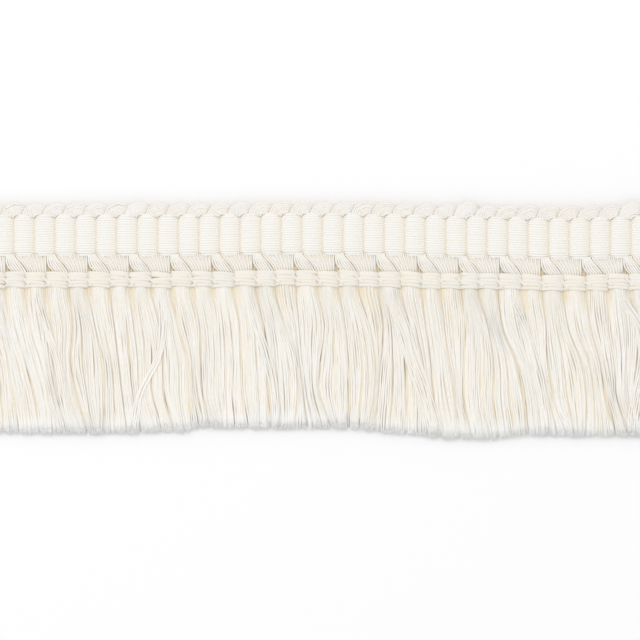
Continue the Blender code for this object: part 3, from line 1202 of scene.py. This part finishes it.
@dataclass
class Fringe(YarnRow):
    """The loose yarns below the knots.

    Attributes:
        half_width: half of a yarn's width.
        half_height: half of its height.
        layers: how each layer lies.
        crossing: how the locks lie that fall across their neighbours.
        hidden: the share of the depth that lies inside the knots.
        start: how far below the knots' top the yarns start.
        held: how high a bundle's side yarns are held in its knot, how far above its layer a
            middle yarn is held, and how far below the knot's top it stays.
        settle: the share of the depth over which the yarns come down from them.
        gauges: the depths at which a bundle's width is taken.
        depths: where a yarn's points are, as shares of the depth.
        clump: how far the yarns drift together or apart.
        clump_size: how far apart clumps are along the trim, and how many follow down the fringe.
        wave: how far a yarn waves sideways.
        waves: how many waves it has.
        loose: how far above or below its lock it lies.
        crooked: how far each of its points strays sideways and in height.
        ragged: how far its end is from the cut line.
        heaped: how much higher the middle of a bundle lies just below its knot.
        flattened: how high the cut ends lie, as a share of the layer's height.
        end_lightening: how clean the cut ends look: past 1, painted light that takes off the
            painted shade and the random yellowing there.
    """

    half_width: float = 0.23
    half_height: float = 0.165
    # The lower layers' lower tones are painted shade.
    layers: dict[Layer, LayerSizes] = field(
        default_factory=lambda: {
            Layer.UNDER: LayerSizes(0.6, 0.4, 0.3, 0.2),
            Layer.BOTTOM: LayerSizes(1.18, 0.29, 0.2, 0.44),
            Layer.MIDDLE: LayerSizes(1.3, 0.35, 0.06, 0.8, 0.86, 0.24, 0.13, 0.04, 0.8),
            Layer.TOP: LayerSizes(1.43, 0.38, 0.0, 1.0, 0.84, 0.3, 0.18, 0.06, 1.0),
        }
    )
    crossing: LayerSizes = LayerSizes(1.62, 0.44, 0.4, 1.0, 0.6, 0.4)
    hidden: float = 0.09
    start: float = 0.6
    held: tuple[float, float, float] = (0.5, 0.75, 0.55)
    settle: float = 0.4
    gauges: tuple[float, ...] = (0.18, 0.41, 0.65, 0.88)
    depths: tuple[float, ...] = (
        *(0.0, 0.06, 0.12, 0.18, 0.25, 0.33, 0.41),
        *(0.49, 0.57, 0.65, 0.73, 0.81, 0.88, 0.94, 1.0),
    )
    clump: float = 0.42
    clump_size: tuple[float, float] = (2.6, 2.2)
    wave: tuple[float, float] = (0.03, 0.12)
    waves: tuple[float, float] = (0.8, 2.0)
    loose: float = 0.09
    crooked: tuple[float, float] = (0.045, 0.04)
    ragged: tuple[float, float] = (-0.3, 0.2)
    heaped: float = 0.12
    flattened: float = 0.7
    end_lightening: float = 1.25

    def hang(self, depth: float) -> float:
        """How far below the knots a depth is, as a share of the loose length."""
        return max(0.0, (depth - self.hidden) / (1 - self.hidden))

    def part_bundle(self, bundle: int, sizes: LayerSizes) -> list[Lock]:
        """Parts a bundle's yarns into two to four locks, at the same places in every layer."""
        rng = random.Random(600 + bundle)
        widths = [rng.uniform(0.6, 1.4) for _ in range(rng.choice((2, 3, 3, 4)))]
        locks = []
        low = 0.0
        for width in widths:
            high = low + width / sum(widths)
            lean = rng.gauss(0, 0.9) * sizes.drawn
            lift = stray(rng, 1) * sizes.uneven
            locks.append(Lock((low + high) / 2, high, lean, lift, rng.uniform(0.95, 1.0)))
            low = high
        return locks

    def bundle_track(
        self, bundle: int, across: float, lock: Lock, sizes: LayerSizes
    ) -> list[float]:
        """Where a yarn that keeps to its bundle lies along the trim, at each depth.

        Args:
            bundle: counted from the left.
            across: the yarn's place in the bundle, from 0 to 1.
            lock: the lock that it lies in.
            sizes: its layer.

        Returns:
            The places along the trim.
        """
        track = []
        for depth in self.depths:
            hang = self.hang(depth)
            opened = smooth(depth / sizes.opening)
            place = mix(0.5 + (across - 0.5) * sizes.gathered, across, opened)
            place = mix(place, lock.middle, sizes.drawn * smooth(hang * 2))
            x = self.layout.flow_x(bundle, place, hang, sizes.parted)
            track.append(x + lock.lean * smooth(hang))
        return track

    def hung_yarn(
        self,
        track: list[float],
        pressed: list[float],
        dome: float,
        lock: Lock,
        sizes: LayerSizes,
        rng: random.Random,
    ) -> Yarn:
        """One yarn from inside its knot to its cut end.

        Args:
            track: where it lies along the trim at each depth.
            pressed: how thin it is pressed at each depth, as a share.
            dome: how high it is in its knot, from 0 at the sides to 1 in the middle.
            lock: the lock that it lies in.
            sizes: its layer.
            rng: the source of its unevenness.

        Returns:
            The yarn.
        """
        lay = self.layout
        start = lay.knot_top_y - self.start
        wave, phase = rng.uniform(*self.wave), rng.uniform(0, math.tau)
        waves = rng.uniform(*self.waves)
        lift = lock.lift + stray(rng, self.loose)
        cut = rng.uniform(*self.ragged) + sizes.shorter
        route = []
        for depth, x in zip(self.depths, track):
            hang = self.hang(depth)
            clump, row = x / self.clump_size[0], hang * self.clump_size[1]
            drift = noise.noise(Vector((clump, row, sizes.height * 9)))
            x += wave * smooth(hang * 4) * math.sin(waves * math.tau * hang + phase)
            x += (self.clump * drift + rng.gauss(0, self.crooked[0])) * smooth(hang * 3)
            x = lay.inside(x)
            y = mix(start, eased(CUT_LINE, x) + cut, depth) + lay.wander(x) * (1 - depth)
            z = self.lying_z(depth, dome, sizes.height) + lift * smooth(depth * 6)
            z += stray(rng, self.crooked[1]) * smooth(hang * 4)
            route.append(Vector((x, y, max(self.half_height, z))))
        half_width = self.half_width * rng.uniform(0.9, 1.1)
        tone = lock.clean * rng.uniform(0.92, 1.0)
        swell = [thin * (1 + 0.15 * noise.noise(spot * 0.5)) for thin, spot in zip(pressed, route)]
        # Painted light at the cut ends: the layer's painted shade gives way to a tone past clean.
        ends = [smooth((depth - 0.88) / 0.1) for depth in self.depths]
        tones = [mix(sizes.tone, self.end_lightening, end) for end in ends]
        phase = rng.uniform(0, TWIST_STARTS)
        return Yarn(route, ALONG, half_width, self.half_height, tone, swell, tones, phase)

    def lying_z(self, depth: float, dome: float, height: float) -> float:
        """How high a yarn lies at a depth, on its way down from inside its knot.

        Args:
            depth: the depth.
            dome: how high the yarn is in its knot, from 0 to 1.
            height: its layer's height.

        Returns:
            The height above the surface.
        """
        hang = self.hang(depth)
        sides, rise, cover = self.held
        held = mix(sides, min(height + rise, self.layout.knot_height - cover), dome)
        lying = height * mix(1.0, self.flattened, smooth(hang)) + self.heaped * dome * (1 - hang)
        return mix(held, lying, smooth(depth / self.settle))

    def bundle_width(self, bundle: int, depth: float) -> float:
        """How wide a bundle is at a depth."""
        hang = self.hang(depth)
        return self.layout.flow_x(bundle, 1, hang) - self.layout.flow_x(bundle, 0, hang)

    def spread(self, bundle: int, layer: Layer) -> float:
        """How wide a bundle's yarns lie: at the widest in the lower layers, else on the whole."""
        widths = [self.bundle_width(bundle, depth) for depth in self.gauges]
        mean = sum(widths) / len(widths)
        return max(widths) if layer in (Layer.UNDER, Layer.BOTTOM) else mean

    def pressed(self, bundle: int, layer: Layer) -> list[float]:
        """How thin a bundle's yarns are pressed where it is narrow, at each depth."""
        sizes = self.layers[layer]
        wide = self.spread(bundle, layer)
        shares = []
        for depth in self.depths:
            gathered = mix(sizes.gathered, 1.0, smooth(depth / sizes.opening))
            share = gathered * self.bundle_width(bundle, depth) / wide
            shares.append(min(1.0, max(0.6, share)))
        return shares

    def layer_yarns(self, layer: Layer) -> list[Yarn]:
        """The yarns of one layer that keep to their bundles."""
        rng = random.Random(60 + list(Layer).index(layer))
        sizes = self.layers[layer]
        yarns = []
        for bundle in range(self.layout.bundle_count):
            locks = self.part_bundle(bundle, sizes)
            count = round(self.spread(bundle, layer) / sizes.spacing)
            pressed = self.pressed(bundle, layer)
            for number in range(count):
                across = (number + 0.5 + stray(rng, 0.2)) / count
                lock = next(lock for lock in locks if across <= lock.high or lock is locks[-1])
                track = self.bundle_track(bundle, across, lock, sizes)
                dome = arch(0.08 + 0.84 * across, 0.7)
                yarns.append(self.hung_yarn(track, pressed, dome, lock, sizes, rng))
        return yarns

    def crossing_yarns(self) -> list[Yarn]:
        """The yarns of the locks that fall across their neighbours."""
        rng = random.Random(71)
        sizes = self.crossing
        yarns = []
        for bundle, *leans, count in CROSSING_LOCKS:
            left, right = self.layout.flow_x(bundle, 0, 0), self.layout.flow_x(bundle, 1, 0)
            gathered = (right - left) * sizes.gathered
            lock = Lock(0.5, 1.0, 0.0, 0.0, rng.uniform(0.95, 1.0))
            for number in range(count):
                aside = (number + 0.5) / count - 0.5
                track = []
                for depth in self.depths:
                    width = mix(gathered, count * sizes.spacing, smooth(depth / self.settle))
                    lean = flowing((0.0, *leans), self.hang(depth))
                    track.append((left + right) / 2 + lean + aside * width)
                dome = arch(0.5 + 0.5 * aside, 0.7)
                pressed = [mix(0.7, 1.0, smooth(depth / self.settle)) for depth in self.depths]
                yarns.append(self.hung_yarn(track, pressed, dome, lock, sizes, rng))
        return yarns


@dataclass
class FrayedEnds:
    """The fibres that come loose at the cut ends.

    Attributes:
        spinner: makes them.
        per_yarn: how many show on one yarn.
        half_width: half of a fibre's width, a few real fibres together.
        swell: its thickness at each of its points, as a share.
        clean: how clean it looks there: past 1, painted light that takes off the painted shade on
            its underside.
        rooted: how far from the cut end it leaves the yarn.
        reach: how far it stands out of it.
        lowest: how low it may lie.
    """

    spinner: Spinner
    per_yarn: int = 5
    half_width: float = 0.055
    swell: tuple[float, ...] = (1.0, 1.0, 0.9, 0.6)
    # Past 1: painted light on fibres that lie in shade.
    clean: tuple[float, ...] = (1.1, 1.1, 1.1, 1.1)
    rooted: tuple[float, float] = (0.2, 0.9)
    reach: tuple[float, float] = (0.5, 1.1)
    lowest: float = 0.06

    def fibre(self, yarn: Yarn, rng: random.Random) -> Yarn:
        """One fibre that stands out of a yarn's cut end."""
        end = yarn.route[-1]
        along = (end - yarn.route[-2]).normalized()
        root = end - along * rng.uniform(*self.rooted)
        root.x += yarn.half_width * stray(rng, 0.9)
        root.z += yarn.half_height * rng.uniform(0.5, 1.3)
        reach = along * rng.uniform(*self.reach)
        bend = Vector((rng.gauss(0, 0.3), rng.uniform(-0.1, 0.3), rng.gauss(0.0, 0.15)))
        route = []
        for share in even_shares(len(self.swell)):
            point = root + reach * share + bend * share * share
            route.append(Vector((point.x, point.y, max(self.lowest, point.z))))
        half_width = self.half_width * rng.uniform(0.7, 1.2)
        tone = rng.uniform(0.9, 1.0)
        return Yarn(route, ALONG, half_width, self.half_width, tone, self.swell, self.clean)

    def build(self, yarns: list[Yarn]) -> bpy.types.Object:
        """The loose fibres of all these yarns."""
        rng = random.Random(83)
        fibres = [self.fibre(yarn, rng) for yarn in yarns for _ in range(self.per_yarn)]
        return self.spinner.spin("fringe_frayed_ends", fibres, sides=3)


@dataclass(frozen=True)
class Studio:
    """A pale floor, soft light from the upper left, and the camera straight above.

    Attributes:
        pixel: one pixel of the photograph, in mm.
        middle_px: the photograph's column and row of its own middle.
        layout_px: the column and row where the layout's own zero is.
        camera_height: of the camera above the surface, in metres.
        sensor: the width of its sensor, in mm.
        floor_colour: of the surface that the trim lies on.
        window_place: where the soft light hangs, in metres.
        window_size: how wide it is, in metres.
        window_power: in watts.
        surrounding: the strength of the even white light from all sides.
    """

    pixel: float = 0.2165
    middle_px: tuple[float, float] = (320, 320)
    layout_px: tuple[float, float] = (322.5, 316.5)
    camera_height: float = 1.2
    sensor: float = 36.0
    floor_colour: tuple[float, float, float] = (0.88, 0.88, 0.885)
    window_place: tuple[float, float, float] = (-0.35, 0.5, 1.2)
    window_size: float = 0.8
    window_power: float = 5.8
    surrounding: float = 0.87

    def build(self, shift: Vector) -> None:
        """Sets up the floor, the lights and the camera.

        Args:
            shift: from the layout to the frame, in mm.
        """
        self.floor()
        self.lights()
        across = (self.middle_px[0] - self.layout_px[0]) * self.pixel + shift.x
        up = (self.layout_px[1] - self.middle_px[1]) * self.pixel + shift.y
        data = bpy.data.cameras.new("camera")
        data.sensor_width = self.sensor
        data.lens = self.camera_height * self.sensor / (2 * self.middle_px[0] * self.pixel * MM)
        data.clip_end = 10
        camera = add_object("camera", data)
        camera.location = (across * MM, up * MM, self.camera_height)
        bpy.context.scene.camera = camera
        bpy.context.scene.view_settings.view_transform = "Standard"

    def floor(self) -> None:
        """The surface that the trim lies on."""
        bm = bmesh.new()
        bmesh.ops.create_grid(bm, x_segments=1, y_segments=1, size=2)
        floor = mesh_object("floor", bm)
        material = bpy.data.materials.new("pale_floor")
        material.use_nodes = True
        shader = material.node_tree.nodes["Principled BSDF"]
        shader.inputs["Base Color"].default_value = (*self.floor_colour, 1)
        shader.inputs["Roughness"].default_value = 1.0
        shader.inputs["Specular IOR Level"].default_value = 0.0
        floor.data.materials.append(material)

    def lights(self) -> None:
        """One large soft light from the upper left, and an even white surrounding."""
        data = bpy.data.lights.new("window", "AREA")
        data.shape = "DISK"
        data.size = self.window_size
        data.energy = self.window_power
        window = add_object("window", data)
        window.location = self.window_place
        aim = -Vector(self.window_place)
        window.rotation_euler = aim.to_track_quat("-Z", "Y").to_euler()
        world = bpy.data.worlds.new("surrounding")
        world.use_nodes = True
        background = world.node_tree.nodes["Background"]
        background.inputs["Color"].default_value = (1, 1, 1, 1)
        background.inputs["Strength"].default_value = self.surrounding
        bpy.context.scene.world = world


def main() -> None:
    """Builds the trim around its frame."""
    logging.basicConfig(level=logging.INFO, format="%(name)s: %(message)s")
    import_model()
    layout = Layout()
    shift = layout.origin_shift()
    spinner = Spinner(shift)
    Studio().build(shift)

    heading = Heading(layout, spinner)
    ground = heading.build_ground()
    warp_ends = [heading.build_warp(starts_over) for starts_over in (True, False)]
    place_pieces([ground, *warp_ends], WARP_FINISH)
    loops = TopLoops(layout, spinner).build()
    place_pieces([loops], LOOP_FINISH)
    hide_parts("heading")

    crossed = CrossedRow(layout, spinner).build()
    place_pieces([crossed], WEFT_FINISH)
    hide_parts("crossed_loops")

    turns = KnotRow(layout, spinner).build()
    place_pieces([turns], TIE_FINISH)
    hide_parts("tie_row")

    fringe = Fringe(layout, spinner)
    hung = {layer.piece: fringe.layer_yarns(layer) for layer in Layer}
    hung["fringe_crossing"] = fringe.crossing_yarns()
    layers = [spinner.spin(name, yarns) for name, yarns in hung.items()]
    place_pieces(layers, FRINGE_FINISH)
    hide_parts("fringe")
    buried = (Layer.UNDER.piece, Layer.BOTTOM.piece)
    in_sight = [yarn for name, yarns in hung.items() if name not in buried for yarn in yarns]
    frayed_ends = FrayedEnds(spinner).build(in_sight)
    place_pieces([frayed_ends], FRAYED_FINISH)


if __name__ == "__main__":
    main()
